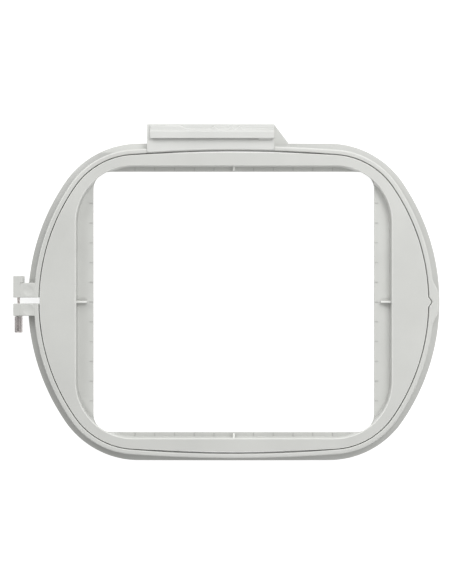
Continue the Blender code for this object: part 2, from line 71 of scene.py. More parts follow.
RIM_TOP = INNER_HIGH.z
FLANGE_ROOT_TOP = 4.8 * MM
FLANGE_EDGE_TOP = 2.6 * MM
FLANGE_BOTTOM = 1.4 * MM
LEDGE_TOP = 2.4 * MM

# Barrel outlines: half length, half width, radius of the short sides, of the long sides, of the corners
GAP_IN = (GAP_IN_HALF_X, 150.4 * MM, 202.9 * MM, 1750 * MM, 74.4 * MM)
GAP_OUT = (196.05 * MM, 152.5 * MM, 203.8 * MM, 1250 * MM, 75.3 * MM)
LIP_OUT = (200.8 * MM, 156.7 * MM, 208.5 * MM, 1443 * MM, 80.0 * MM)
FLANGE_OUT = (208.3 * MM, 160.5 * MM, 213.9 * MM, 30000 * MM, 90.4 * MM)

# Rounded rectangles: half length, half width, corner radius
RIM_INNER = (158.5 * MM, 136.7 * MM, 57.2 * MM)
WINDOW = (142.2 * MM, 131.9 * MM, 17.7 * MM)
WALL = 2.2 * MM
CHANNEL_TOP = 10.8 * MM

NOTCH_HALF = 4.9 * MM
NOTCH_DEPTH = 3.1 * MM
SWELL_FULL = 7.5 * MM
SWELL_END = 24.5 * MM
SWELL_SIZE = 5.2 * MM

EAR_REACH = MIDDLE_X - OUTER_LOW.x
EAR_ROOT = 197.5 * MM
EAR_GAP = (-1.6 * MM, 4.4 * MM)
LOWER_EAR_END = -13.9 * MM
UPPER_EAR_END = 19.3 * MM
NUT_BOSS_END = 26.2 * MM
NUT_BOSS_INNER = 212.1 * MM
EAR_WEB_TOP = 12.4 * MM
EAR_RIDGE_INNER = 214.8 * MM
DISH_X = 206.3 * MM
DISH_Y = (11.6 * MM, -7.9 * MM)
DISH_RADIUS = 5.4 * MM
DISH_DEPTH = 0.8 * MM
BORE_RADIUS = 1.75 * MM

CONN_LEFT = CONN_LOW.x - MIDDLE_X
CONN_RIGHT = CONN_HIGH.x - MIDDLE_X
CONN_BACK = CONN_HIGH.y - MIDDLE_Y
CONN_FRONT = 157.4 * MM
SEAT_TOP = 11.0 * MM
PLATE_TOP = 14.0 * MM
CAM_TOP = 16.8 * MM
RAIL_TOP = CONN_HIGH.z
RAIL_LEFT = -84.0 * MM
RAIL_FRONT = 163.7 * MM
RAIL_STEM = 166.6 * MM
RAIL_UNDERCUT = 16.0 * MM
RAIL_BACK = 172.0 * MM
CAM_HIGH = 176.6 * MM
CAM_LOW = 173.7 * MM
CAM_SLOPE = (-53.7 * MM, -47.0 * MM)
CAM_BUMPS = [x * MM for x in (-19.8, -2.4, 5.6)]
CAM_BUMP_HALF = 3.2 * MM
DETENT_X = (24.8 * MM, 38.8 * MM)
DETENT_FRONT = 162.8 * MM
REAR_GROOVE_LEFT = -80.0 * MM
REAR_GROOVE_DEPTH = 4.0 * MM
REAR_GROOVE_HEIGHTS = (6.5 * MM, 10.0 * MM)
POCKET_Y = (160.0 * MM, 172.0 * MM)
POCKET_TOP = 11.4 * MM
SCREW_BLOCK_HALF = 6.0 * MM
BLIND_HOLE_RADIUS = 1.6 * MM
BLIND_HOLE_TOP = 11.6 * MM
PAD_TOP = 3.0 * MM
PAD_BACK = OUTER_HIGH.y - MIDDLE_Y
PAD_TIP = (54.9 * MM, 161.4 * MM)
PAD_RIGHT = 40.6 * MM
PAD_HOLE_RADIUS = 1.8 * MM
COUNTERBORE_RADIUS = 3.2 * MM
COUNTERBORE_TOP = 1.8 * MM
FIT_GAP = 0.3 * MM

# Heights well below and above the part, for cutters that go right through
THROUGH_LOW = -5.0 * MM
THROUGH_HIGH = 30.0 * MM


# ---------------------------------------------------------------- outlines, as distances along rays

# Angles between rays, in radians: round most of the hoop, at the swelling and at the notch
COARSE_STEP = 0.0115
SWELL_STEP = 0.0045
NOTCH_STEP = 0.0017


def grown(outline, distance):
    """An outline moved outwards: its half sizes and its radii all grow by the distance."""
    return tuple(size + distance for size in outline)


def circle_reach(centre_x, centre_y, radius, angle):
    """How far along this ray from the middle the far side of a circle lies."""
    along = centre_x * math.cos(angle) + centre_y * math.sin(angle)
    return along + math.sqrt(along**2 - centre_x**2 - centre_y**2 + radius**2)


def folded(angle):
    """The same direction mirrored into the first quarter."""
    return math.atan2(abs(math.sin(angle)), abs(math.cos(angle)))


def barrel(outline):
    """Reach of a barrel outline: short side arc, corner arc, long side arc, all tangent."""
    half_x, half_y, side_radius, long_radius, corner_radius = outline
    side_x = half_x - side_radius
    long_y = half_y - long_radius
    to_side = side_radius - corner_radius
    to_long = long_radius - corner_radius
    apart = math.hypot(side_x, long_y)
    along = (to_side**2 - to_long**2 + apart**2) / (2 * apart)
    across = math.sqrt(to_side**2 - along**2)
    unit_x = -side_x / apart
    unit_y = long_y / apart
    corner_x = side_x + along * unit_x - across * unit_y
    corner_y = along * unit_y + across * unit_x
    side_end = math.atan2(corner_y, corner_x - side_x)
    long_end = math.atan2(corner_y - long_y, corner_x)
    side_ray = math.atan2(
        side_radius * math.sin(side_end), side_x + side_radius * math.cos(side_end)
    )
    long_ray = math.atan2(
        long_y + long_radius * math.sin(long_end), long_radius * math.cos(long_end)
    )

    def reach(angle):
        angle = folded(angle)
        if angle <= side_ray:
            return circle_reach(side_x, 0.0, side_radius, angle)
        if angle >= long_ray:
            return circle_reach(0.0, long_y, long_radius, angle)
        return circle_reach(corner_x, corner_y, corner_radius, angle)

    return reach


def rounded(outline):
    """Reach of a rounded rectangle."""
    half_x, half_y, radius = outline
    corner_x = half_x - radius
    corner_y = half_y - radius

    def reach(angle):
        angle = folded(angle)
        if half_x * math.tan(angle) <= corner_y:
            return half_x / math.cos(angle)
        if half_y / math.tan(angle) <= corner_x:
            return half_y / math.sin(angle)
        return circle_reach(corner_x, corner_y, radius, angle)

    return reach


def barrels(outline):
    """For a distance, the reach of this barrel outline moved outwards by it."""
    return lambda distance: barrel(grown(outline, distance))


def rectangles(outline):
    """For a distance, the reach of this rounded rectangle moved outwards by it."""
    return lambda distance: rounded(grown(outline, distance))


def outermost(first, second):
    return lambda angle: max(first(angle), second(angle))


def station_angles():
    """Ray directions round the hoop, closer together at the notch and the swelling."""
    upper = [0.0]
    while upper[-1] < math.pi:
        height = GAP_IN_HALF_X * math.tan(min(upper[-1], 1.0))
        step = COARSE_STEP
        if height < SWELL_END + 3 * MM:
            step = SWELL_STEP
        if height < NOTCH_HALF + 2 * MM:
            step = NOTCH_STEP
        upper.append(upper[-1] + step)
    scale = math.pi / upper[-1]
    upper = [angle * scale for angle in upper]
    return upper + [2 * math.pi - angle for angle in reversed(upper[1:-1])]


ANGLES = station_angles()


def circle(radius, sides):
    angles = [2 * math.pi * k / sides for k in range(sides)]
    return [(radius * math.cos(angle), radius * math.sin(angle)) for angle in angles]


def soft_vee(y, half, depth):
    """A V of this half width and depth with a rounded tip and rounded shoulders."""
    tip = 0.26
    slope = 1.0 - math.sqrt((y / half) ** 2 + tip**2)
    shoulder = 0.10
    return depth * (slope + math.sqrt(slope**2 + shoulder**2)) / (2 * (1.0 - tip))


def swell(y):
    """How far the lip swells outwards behind the notch."""
    if abs(y) <= SWELL_FULL:
        return SWELL_SIZE
    if abs(y) >= SWELL_END:
        return 0.0
    share = (SWELL_END - abs(y)) / (SWELL_END - SWELL_FULL)
    return SWELL_SIZE * share**2 * (3 - 2 * share)


def loop_points(reach, notched=False, swollen=False):
    """An outline's points, one along each ray, with the notch or the swelling where asked."""
    points = []
    for angle in ANGLES:
        distance = reach(angle)
        x = distance * math.cos(angle)
        y = distance * math.sin(angle)
        if x > 0 and notched and abs(y) < 3 * NOTCH_HALF:
            x += soft_vee(y, NOTCH_HALF, NOTCH_DEPTH)
        if x > 0 and swollen:
            x += swell(y)
        points.append((x, y))
    return points


# ---------------------------------------------------------------- mesh tools

def finished(name, built, material=None):
    """A new object at the middle of the field, from the mesh that was built."""
    bmesh.ops.recalc_face_normals(built, faces=built.faces)
    mesh = bpy.data.meshes.new(name)
    built.to_mesh(mesh)
    built.free()
    obj = bpy.data.objects.new(name, mesh)
    bpy.context.scene.collection.objects.link(obj)
    obj.location = MIDDLE
    if material:
        mesh.materials.append(material)
    return obj


def add_band(built, ring, following):
    count = len(ring)
    for k in range(count):
        after = (k + 1) % count
        built.faces.new((ring[k], ring[after], following[after], following[k]))


def add_sweep(built, rings):
    """A closed section carried round the hoop, given as (loop of points, height) rings."""
    loops = [[built.verts.new((x, y, z)) for x, y in points] for points, z in rings]
    for ring, following in zip(loops, loops[1:] + loops[:1]):
        add_band(built, ring, following)


def add_loft(built, loops):
    """A closed solid through matching loops of points, with flat ends."""
    rings = [[built.verts.new(point) for point in loop] for loop in loops]
    for ring, following in zip(rings, rings[1:]):
        add_band(built, ring, following)
    built.faces.new(rings[0])
    built.faces.new(rings[-1])


def add_prism(built, outline, low, high):
    """An upright prism."""
    add_loft(built, [[(x, y, z) for x, y in outline] for z in (low, high)])


def add_bar(built, section, x_range):
    """A bar along X."""
    add_loft(built, [[(x, y, z) for y, z in section] for x in x_range])


def add_box(built, x_range, y_range, z_range):
    corners = [
        (x_range[0], y_range[0]),
        (x_range[1], y_range[0]),
        (x_range[1], y_range[1]),
        (x_range[0], y_range[1]),
    ]
    add_prism(built, corners, *z_range)


def add_turned(built, profile, sides):
    """A solid of revolution about the Y axis: (place along Y, radius) from end to end."""
    add_loft(built, [[(x, place, z) for x, z in circle(radius, sides)] for place, radius in profile])


def soften(built, width, segments=3, angle=30):
    """Rounds every edge that is sharper than this angle."""
    bmesh.ops.recalc_face_normals(built, faces=built.faces)
    sharp = [e for e in built.edges if e.calc_face_angle(0.0) > math.radians(angle)]
    bmesh.ops.bevel(
        built,
        geom=sharp,
        offset=width,
        segments=segments,
        profile=0.5,
        affect="EDGES",
        clamp_overlap=True,
    )


def combine(target, operation, helper):
    """Joins a helper to the target or cuts it away, applies that and removes the helper."""
    modifier = target.modifiers.new("shape", "BOOLEAN")
    modifier.operation = operation
    modifier.solver = "EXACT"
    modifier.use_self = operation == "UNION"
    modifier.object = helper
    graph = bpy.context.evaluated_depsgraph_get()
    mesh = bpy.data.meshes.new_from_object(target.evaluated_get(graph))
    target.modifiers.remove(modifier)
    old = target.data
    target.data = mesh
    mesh.name = old.name
    bpy.data.meshes.remove(old)
    helper_mesh = helper.data
    bpy.data.objects.remove(helper)
    bpy.data.meshes.remove(helper_mesh)


def cut(target, name, adder):
    built = bmesh.new()
    adder(built)
    combine(target, "DIFFERENCE", finished(name, built))


def join(target, name, adder):
    built = bmesh.new()
    adder(built)
    combine(target, "UNION", finished(name, built))


# A face wider than this is broad. The folds, in radians, are those that take the full painted highlight or
# the full painted shade
BROAD_FACE = 1.4 * MM
HIGHLIGHT_FOLD = 0.2
GROOVE_FOLD = 0.22


def folds_at(vertex):
    """The turns at a vertex's edges, each with its edge: above zero outwards, below zero inwards."""
    return [(e.calc_face_angle_signed(0.0), e) for e in vertex.link_edges if len(e.link_faces) == 2]


def painted_highlight_of(vertex):
    """How much painted highlight a vertex takes: 1 on a rounded edge, 0 where the fold borders a broad
    face.
    """
    turn, edge = max(folds_at(vertex), key=lambda fold: fold[0], default=(0.0, None))
    if turn <= 0.0 or any(f.calc_area() > BROAD_FACE * edge.calc_length() for f in edge.link_faces):
        return 0.0
    return min(1.0, turn / HIGHLIGHT_FOLD)


def groove_painted_shade(vertex):
    """How much painted shade a vertex takes: up to 1 at the bottom of a groove."""
    deepest = min((turn for turn, _ in folds_at(vertex)), default=0.0)
    return min(1.0, max(0.0, -deepest) / GROOVE_FOLD)


def settle(obj, smooth_angle=35, no_highlight_below=-1.0, painted_shade_of=None):
    """Clean shading after the cuts, and an edge mark on every vertex for the materials to read: above
    zero for a painted highlight on a rounded edge, and below zero for painted shade. No highlight is
    painted below a given height."""
    mesh = obj.data
    built = bmesh.new()
    built.from_mesh(mesh)
    bmesh.ops.remove_doubles(built, verts=built.verts, dist=1e-6)
    bmesh.ops.dissolve_degenerate(built, edges=built.edges, dist=1e-6)
    mark = built.verts.layers.float.new("edge_mark")
    for vertex in built.verts:
        # Above zero: painted highlight on rounded edges; below zero: painted shade
        if vertex.co.z > no_highlight_below:
            vertex[mark] = painted_highlight_of(vertex)
        if painted_shade_of:
            vertex[mark] -= painted_shade_of(vertex)
    built.to_mesh(mesh)
    built.free()
    mesh.shade_smooth()
    mesh.set_sharp_from_angle(angle=math.radians(smooth_angle))
    weighted = obj.modifiers.new("even_shading", "WEIGHTED_NORMAL")
    weighted.keep_sharp = True


def arc_rings(reach_of, inset, height, radius, start, end, steps=4, **options):
    """Rings that round an edge: an arc in the section, its angles in degrees from outwards to up."""
    rings = []
    for k in range(steps + 1):
        angle = math.radians(start + (end - start) * k / steps)
        shape = reach_of(inset + radius * math.cos(angle))
        rings.append((loop_points(shape, **options), height + radius * math.sin(angle)))
    return rings


# ---------------------------------------------------------------- materials

def noise(tree, coordinates, scale, detail, roughness=0.5):
    node = tree.nodes.new("ShaderNodeTexNoise")
    node.inputs["Scale"].default_value = scale
    node.inputs["Detail"].default_value = detail
    node.inputs["Roughness"].default_value = roughness
    tree.links.new(coordinates, node.inputs["Vector"])
    return node.outputs["Fac"]


def ranged(tree, value, low, high, to_low, to_high):
    """The value carried from one range to another, and held at its ends."""
    node = tree.nodes.new("ShaderNodeMapRange")
    node.inputs["From Min"].default_value = low
    node.inputs["From Max"].default_value = high
    node.inputs["To Min"].default_value = to_low
    node.inputs["To Max"].default_value = to_high
    tree.links.new(value, node.inputs["Value"])
    return node.outputs["Result"]


def product(tree, first, second):
    node = tree.nodes.new("ShaderNodeMath")
    node.operation = "MULTIPLY"
    tree.links.new(first, node.inputs[0])
    tree.links.new(second, node.inputs[1])
    return node.outputs[0]


def blended(tree, factor, first, second):
    """A colour between two colours, each a socket or a plain value."""
    node = tree.nodes.new("ShaderNodeMix")
    node.data_type = "RGBA"
    tree.links.new(factor, node.inputs["Factor"])
    for socket, value in (("A", first), ("B", second)):
        target = [s for s in node.inputs if s.name == socket and s.type == "RGBA"][0]
        if isinstance(value, bpy.types.NodeSocket):
            tree.links.new(value, target)
        else:
            target.default_value = (*value, 1.0)
    return [s for s in node.outputs if s.type == "RGBA"][0]


def bumped(tree, height, strength, distance, before=None):
    node = tree.nodes.new("ShaderNodeBump")
    node.inputs["Strength"].default_value = strength
    node.inputs["Distance"].default_value = distance
    tree.links.new(height, node.inputs["Height"])
    if before:
        tree.links.new(before, node.inputs["Normal"])
    return node.outputs["Normal"]


def stretched(tree, scale):
    """Object coordinates, stretched by a factor along each axis."""
    place = tree.nodes.new("ShaderNodeTexCoord")
    node = tree.nodes.new("ShaderNodeMapping")
    node.inputs["Scale"].default_value = scale
    tree.links.new(place.outputs["Object"], node.inputs["Vector"])
    return node.outputs["Vector"]


def edge_mark(tree):
    node = tree.nodes.new("ShaderNodeAttribute")
    node.attribute_name = "edge_mark"
    return node.outputs["Fac"]


def shader_of(name):
    """A new node material, its tree and its shader."""
    material = bpy.data.materials.new(name)
    material.use_nodes = True
    return material, material.node_tree, material.node_tree.nodes["Principled BSDF"]


def scaled(colour, factor):
    return tuple(min(1.0, part * factor) for part in colour)


BLACK = (0.0, 0.0, 0.0)
PLASTIC_IOR = 1.53


def flange_painted_shade(tree, place, amount):
    """Painted shade on the low flange beside the lip: darker on the clamp's side, and none on the pad
    behind it.
    """
    parts = tree.nodes.new("ShaderNodeSeparateXYZ")
    tree.links.new(place, parts.inputs["Vector"])
    along, across, height = (parts.outputs[axis] for axis in "XYZ")
    low = ranged(tree, height, 4.4 * MM, 6.2 * MM, amount, 0.0)
    behind = ranged(tree, across, 150 * MM, 152 * MM, 0.0, -1.0)
    beside = ranged(tree, along, 55 * MM, 58 * MM, 1.0, 0.0)
    off_pad = ranged(tree, product(tree, behind, beside), -1.0, 0.0, 0.0, 1.0)
    # Painted shade, stronger on the clamp's side, away from the lights
    left_side_shade = ranged(tree, along, -200 * MM, 200 * MM, 1.5, 0.5)
    return product(tree, product(tree, low, off_pad), left_side_shade)


def moulded_plastic(name, colour, highlight_gain, roughness=0.42, flange_shade=0.0):
    """Satin ABS: spark-eroded grain, faint flow clouds, duller patches, a painted highlight on rounded
    edges, painted shade on the tops of the measuring marks, and painted shade on the low flange."""
    material, tree, shader = shader_of(name)
    place = stretched(tree, (1, 1, 1))
    clouds = noise(tree, place, scale=14.0, detail=4.0, roughness=0.55)
    patches = noise(tree, place, scale=95.0, detail=5.0, roughness=0.6)
    grain = noise(tree, place, scale=2600.0, detail=2.0)
    darker = scaled(colour, 0.955)
    toned = blended(tree, ranged(tree, clouds, 0.3, 0.7, 0.0, 1.0), darker, scaled(colour, 1.04))
    toned = blended(tree, ranged(tree, grain, 0.35, 0.75, 0.0, 0.16), toned, darker)
    # Painted shade on the low flange beside the lip
    toned = blended(tree, flange_painted_shade(tree, place, flange_shade), toned, BLACK)
    # Painted shade on the tops of the measuring marks, from the negative edge mark
    shade_share = ranged(tree, edge_mark(tree), -1.0, -0.3, 0.18, 0.0)
    toned = blended(tree, shade_share, toned, BLACK)
    # Painted highlight on rounded edges, from the positive edge mark
    highlight_share = ranged(tree, edge_mark(tree), 0.25, 1.0, 0.0, 0.7)
    toned = blended(tree, highlight_share, toned, scaled(colour, highlight_gain))
    tree.links.new(toned, shader.inputs["Base Color"])
    rough = ranged(tree, patches, 0.3, 0.7, roughness - 0.05, roughness + 0.06)
    tree.links.new(rough, shader.inputs["Roughness"])
    normal = bumped(tree, grain, strength=0.22, distance=0.00005)
    normal = bumped(tree, patches, strength=0.10, distance=0.0002, before=normal)
    tree.links.new(normal, shader.inputs["Normal"])
    shader.inputs["IOR"].default_value = PLASTIC_IOR
    return material


def turned_metal(name, colour, roughness, along=(1, 1, 1)):
    """Plated steel with fine scratches, small stains, a painted highlight on its edges and painted shade
    in its grooves.
    """
    material, tree, shader = shader_of(name)
    scratches = noise(tree, stretched(tree, along), scale=900.0, detail=4.0, roughness=0.65)
    stains = noise(tree, stretched(tree, (1, 1, 1)), scale=240.0, detail=4.0, roughness=0.6)
    toned = blended(tree, ranged(tree, stains, 0.42, 0.72, 0.0, 0.65), colour, scaled(colour, 0.72))
    # Painted shade in grooves, from the negative edge mark
    shade_share = ranged(tree, edge_mark(tree), -1.0, -0.2, 0.8, 0.0)
    toned = blended(tree, shade_share, toned, scaled(colour, 0.38))
    # Painted highlight on edges, from the positive edge mark
    highlight_share = ranged(tree, edge_mark(tree), 0.1, 0.8, 0.0, 0.8)
    toned = blended(tree, highlight_share, toned, scaled(colour, 1.25))
    tree.links.new(toned, shader.inputs["Base Color"])
    rough = ranged(tree, scratches, 0.25, 0.75, roughness - 0.08, roughness + 0.12)
    tree.links.new(rough, shader.inputs["Roughness"])
    normal = bumped(tree, scratches, strength=0.25, distance=0.00003)
    tree.links.new(normal, shader.inputs["Normal"])
    shader.inputs["Metallic"].default_value = 1.0
    return material


# Each plastic's highlight gain is a painted highlight on rounded edges; the frame's flange shade is
# painted shade on its low flange
frame_plastic = moulded_plastic("frame_plastic", (0.560, 0.565, 0.542), highlight_gain=1.15, flange_shade=0.18)
inner_plastic = moulded_plastic("inner_plastic", (0.556, 0.561, 0.538), highlight_gain=1.4)
connector_plastic = moulded_plastic("connector_plastic", (0.615, 0.620, 0.600), highlight_gain=1.25, roughness=0.38)
screw_steel = turned_metal("screw_steel", (0.74, 0.70, 0.69), roughness=0.27, along=(1, 0.06, 1))
zinc_steel = turned_metal("zinc_steel", (0.62, 0.61, 0.58), roughness=0.36)


# ---------------------------------------------------------------- outer frame

def outer_rings():
    """The ring's section: wall, crowned lip, fillet, sloping flange, and back along the underside."""
    wall = barrels(GAP_OUT)
    lip = barrels(LIP_OUT)
    flange = barrels(FLANGE_OUT)
    small = 0.35 * MM
    edge = 0.5 * MM
    inner_crown = 1.1 * MM
    outer_crown = 1.7 * MM
    rings = arc_rings(wall, inner_crown, RIM_TOP - inner_crown, inner_crown, 180, 90, 6, notched=True)
    rings += arc_rings(lip, -outer_crown, RIM_TOP - outer_crown, outer_crown, 90, 0, 8, swollen=True)
    rings += arc_rings(lip, edge, FLANGE_ROOT_TOP + edge, edge, 180, 250, 4, swollen=True)
    rings += arc_rings(flange, -edge, FLANGE_EDGE_TOP - edge, edge, 70, 0, 4)
    rings += arc_rings(flange, -small, FLANGE_BOTTOM + small, small, 0, -90, 3)
    rings += arc_rings(lip, small, FLANGE_BOTTOM - small, small, 90, 180, 3)
    rings += arc_rings(lip, -small, small, small, 0, -90, 3)
    rings += arc_rings(wall, small, small, small, 270, 180, 3, notched=True)
    return rings


def add_ears(built):
    """The ears' raised ridges over the screw, and the nut's boss on the upper one."""
    upper_ridge = [
        (-EAR_REACH, EAR_GAP[1]),
        (-EAR_RIDGE_INNER, EAR_GAP[1]),
        (-EAR_RIDGE_INNER, UPPER_EAR_END),
        (-NUT_BOSS_INNER, UPPER_EAR_END),
        (-NUT_BOSS_INNER, NUT_BOSS_END),
        (-EAR_REACH, NUT_BOSS_END),
    ]
    add_prism(built, upper_ridge, 0.0, RIM_TOP)
    ridge_x = (-EAR_REACH, -EAR_RIDGE_INNER)
    add_box(built, ridge_x, (LOWER_EAR_END, EAR_GAP[0]), (0.0, RIM_TOP))
    soften(built, 0.45 * MM, 4)


def add_webs(built):
    """The two ears themselves, from the ring out, a hair inside the ridges' faces."""
    hair = 0.02 * MM
    for y_range in ((LOWER_EAR_END, EAR_GAP[0]), (EAR_GAP[1], UPPER_EAR_END)):
        add_box(built, (-EAR_REACH + hair, -EAR_ROOT), y_range, (hair, EAR_WEB_TOP))
    soften(built, 0.8 * MM, 2)


def add_split(built):
    """The slot that splits the ring between the ears."""
    clear = 0.12 * MM
    x_range = (-EAR_REACH - WALL, -GAP_IN_HALF_X + WALL)
    y_range = (EAR_GAP[0] - clear, EAR_GAP[1] + clear)
    add_box(built, x_range, y_range, (THROUGH_LOW, THROUGH_HIGH))


def add_dishes(built):
    """Shallow finger dishes with a clear round rim."""
    radius = (DISH_RADIUS**2 + DISH_DEPTH**2) / (2 * DISH_DEPTH)
    for y in DISH_Y:
        place = Matrix.Translation((-DISH_X, y, EAR_WEB_TOP - DISH_DEPTH + radius))
        bmesh.ops.create_uvsphere(built, u_segments=96, v_segments=192, radius=radius, matrix=place)


def add_bore(built):
    """The screw's bore through both ears, stopping inside the nut's boss."""
    ends = (LOWER_EAR_END - 6.1 * MM, NUT_BOSS_END - 1.3 * MM)
    add_turned(built, [(end, BORE_RADIUS) for end in ends], 40)
    bmesh.ops.translate(built, verts=built.verts, vec=screw_axis())


def screw_axis():
    """The clamp screw's axis at the middle's height along Y."""
    centre = (SCREW_LOW + SCREW_HIGH) / 2
    return Vector((centre.x - MIDDLE_X, 0.0, centre.z))


def add_nut_pocket(built):
    low = NUT_LOW - MIDDLE
    high = NUT_HIGH - MIDDLE
    x_range = (low.x - FIT_GAP, high.x + FIT_GAP)
    add_box(built, x_range, (low.y - FIT_GAP, high.y + FIT_GAP), (THROUGH_LOW, high.z + FIT_GAP))


def add_pad(built):
    """The mounting pad below the connector, its front inside the ring."""
    front = CONN_FRONT - 3 * MM
    outline = [
        (CONN_LEFT, front),
        (PAD_TIP[0], front),
        PAD_TIP,
        (PAD_RIGHT, PAD_BACK),
        (CONN_LEFT, PAD_BACK),
    ]
    add_prism(built, outline, 0.0, PAD_TOP)
    soften(built, 0.5 * MM, 3)


def add_connector_seat(built):
    """The room for the connector: down to the seat over the ring, and to the pad behind it."""
    front = GAP_IN[1] - WALL
    back = PAD_BACK + WALL
    section = [
        (front, SEAT_TOP),
        (CONN_FRONT - FIT_GAP, SEAT_TOP),
        (CONN_FRONT - FIT_GAP, PAD_TOP),
        (back, PAD_TOP),
        (back, THROUGH_HIGH),
        (front, THROUGH_HIGH),
    ]
    add_bar(built, section, (CONN_LEFT - FIT_GAP, CONN_RIGHT + FIT_GAP))


def connector_screw_places():
    places = []
    for number in (1, 2, 3, 4):
        low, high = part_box(f"connector_screw_{number}")
        places.append((low + high) / 2 - MIDDLE)
    return places


def add_screw_holes(built, radius, top, sides=40):
    """An upright round hole at each of the connector's screws, from below the part to this height."""
    for place in connector_screw_places():
        outline = [(place.x + x, place.y + y) for x, y in circle(radius, sides)]
        add_prism(built, outline, THROUGH_LOW, top)


def add_pad_holes(built):
    add_screw_holes(built, PAD_HOLE_RADIUS, THROUGH_HIGH)


def add_counterbores(built):
    add_screw_holes(built, COUNTERBORE_RADIUS, COUNTERBORE_TOP)


def make_outer_frame():
    built = bmesh.new()
    add_sweep(built, outer_rings())
    obj = finished("outer_moulding", built, frame_plastic)
    join(obj, "pad", add_pad)
    cut(obj, "split", add_split)
    join(obj, "webs", add_webs)
    join(obj, "ears", add_ears)
    cut(obj, "dishes", add_dishes)
    cut(obj, "bore", add_bore)
    cut(obj, "nut_pocket", add_nut_pocket)
    cut(obj, "seat", add_connector_seat)
    cut(obj, "pad_holes", add_pad_holes)
    cut(obj, "counterbores", add_counterbores)
    settle(obj)
    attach(obj, "outer")
    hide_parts("outer_frame")


# ---------------------------------------------------------------- inner frame

# The chamfer round the rim's inner edge, as (distance outwards, depth below the top), its corners eased
RIM_CHAMFER = [
    (0.95 * MM, 0.0),
    (0.82 * MM, 0.03 * MM),
    (0.72 * MM, 0.10 * MM),
    (0.11 * MM, 0.72 * MM),
    (0.03 * MM, 0.82 * MM),
    (0.0, 0.95 * MM),
]


def inner_rings():
    """The ring's section: outer wall, flat rim, drafted inner wall, ledge, and the open underside."""
    outside = barrels(GAP_IN)
    rim = rectangles(RIM_INNER)
    window = rectangles(WINDOW)
    small = 0.3 * MM
    edge = 0.5 * MM
    fillet = 0.45 * MM
    foot = outermost(rim(-0.25 * MM), window(0.9 * MM))
    foot_end = outermost(rim(-0.7 * MM), window(0.5 * MM))
    channel_side = outermost(rim(WALL), window(WALL))
    rings = arc_rings(outside, -small, small, small, -90, 0, 3, notched=True)
    rings += arc_rings(outside, -edge, RIM_TOP - edge, edge, 0, 90, 5, notched=True)
    rings += [(loop_points(shape), RIM_TOP) for shape in (outside(-0.9 * MM), rim(1.2 * MM))]
    rings += [(loop_points(rim(distance)), RIM_TOP - drop) for distance, drop in RIM_CHAMFER]
    rings.append((loop_points(foot), LEDGE_TOP + fillet))
    rings.append((loop_points(foot_end), LEDGE_TOP))
    rings += arc_rings(window, small, LEDGE_TOP - small, small, 90, 180, 3)
    rings += arc_rings(window, small, small, small, 180, 270, 3)
    rings.append((loop_points(channel_side), 0.0))
    rings.append((loop_points(channel_side), CHANNEL_TOP))
    rings.append((loop_points(outside(-WALL)), CHANNEL_TOP))
    rings.append((loop_points(outside(-WALL)), 0.0))
    return rings


# Where the ribs under the rim lie: along Y on the short sides, along X on the long sides
SIDE_RIBS = [y * MM for y in (-92, -69, -46, -23, 0, 23, 46, 69, 92)]
LONG_RIBS = [x * MM for x in (-96, -64, -32, 0, 32, 64, 96)]
RIB_HALF = 0.8 * MM
RIB_BOTTOM = 0.8 * MM


def crossing(reach, x=None, y=None):
    """The other coordinate of the point in the first quarter where an outline passes this X or this Y,
    found by halving."""
    low, high = 0.0, math.pi / 2
    for _ in range(40):
        middle = (low + high) / 2
        distance = reach(middle)
        past = distance * math.sin(middle) < y if x is None else distance * math.cos(middle) > x
        low, high = (middle, high) if past else (low, middle)
    distance = reach(low)
    return distance * (math.cos(low) if x is None else math.sin(low))


def add_stiffeners(built):
    """The cross ribs in the open channel under the rim."""
    heights = (RIB_BOTTOM, CHANNEL_TOP + 0.5 * MM)
    outside = barrel(grown(GAP_IN, -WALL / 2))
    inside = outermost(rounded(grown(RIM_INNER, WALL / 2)), rounded(grown(WINDOW, WALL / 2)))
    for y in SIDE_RIBS:
        near, far = (crossing(reach, y=abs(y)) for reach in (inside, outside))
        for x_range in ((near, far), (-far, -near)):
            add_box(built, x_range, (y - RIB_HALF, y + RIB_HALF), heights)
    for x in LONG_RIBS:
        near, far = (crossing(reach, x=abs(x)) for reach in (inside, outside))
        for y_range in ((near, far), (-far, -near)):
            add_box(built, (x - RIB_HALF, x + RIB_HALF), y_range, heights)


GUSSET_HALF = 1.1 * MM
GUSSET_TOP = 10.0 * MM
GUSSET_END = 7.2 * MM
GUSSET_LENGTHS = (10.2 * MM, 4.0 * MM)


def add_gussets(built):
    """The four centre gussets, which slope down from the rim's inner wall over the ledge."""
    root = 0.9 * MM
    for quarter in range(4):
        wall = RIM_INNER[quarter % 2]
        length = GUSSET_LENGTHS[quarter % 2]
        section = [
            (wall + root, LEDGE_TOP - root),
            (wall + root, GUSSET_TOP),
            (wall, GUSSET_TOP),
            (wall - length, GUSSET_END),
            (wall - length, LEDGE_TOP - root),
        ]
        turn = Matrix.Rotation(quarter * math.pi / 2, 3, "Z")
        ends = (-GUSSET_HALF, GUSSET_HALF)
        add_loft(built, [[turn @ Vector((r, s, z)) for r, z in section] for s in ends])
    soften(built, 0.75 * MM, 4)


MARK_STEP = 20 * MM
MARK_COUNT = 5
MARK_HALF = 0.4 * MM
MARK_LENGTH = 3.8 * MM
MARK_HEIGHT = 0.6 * MM


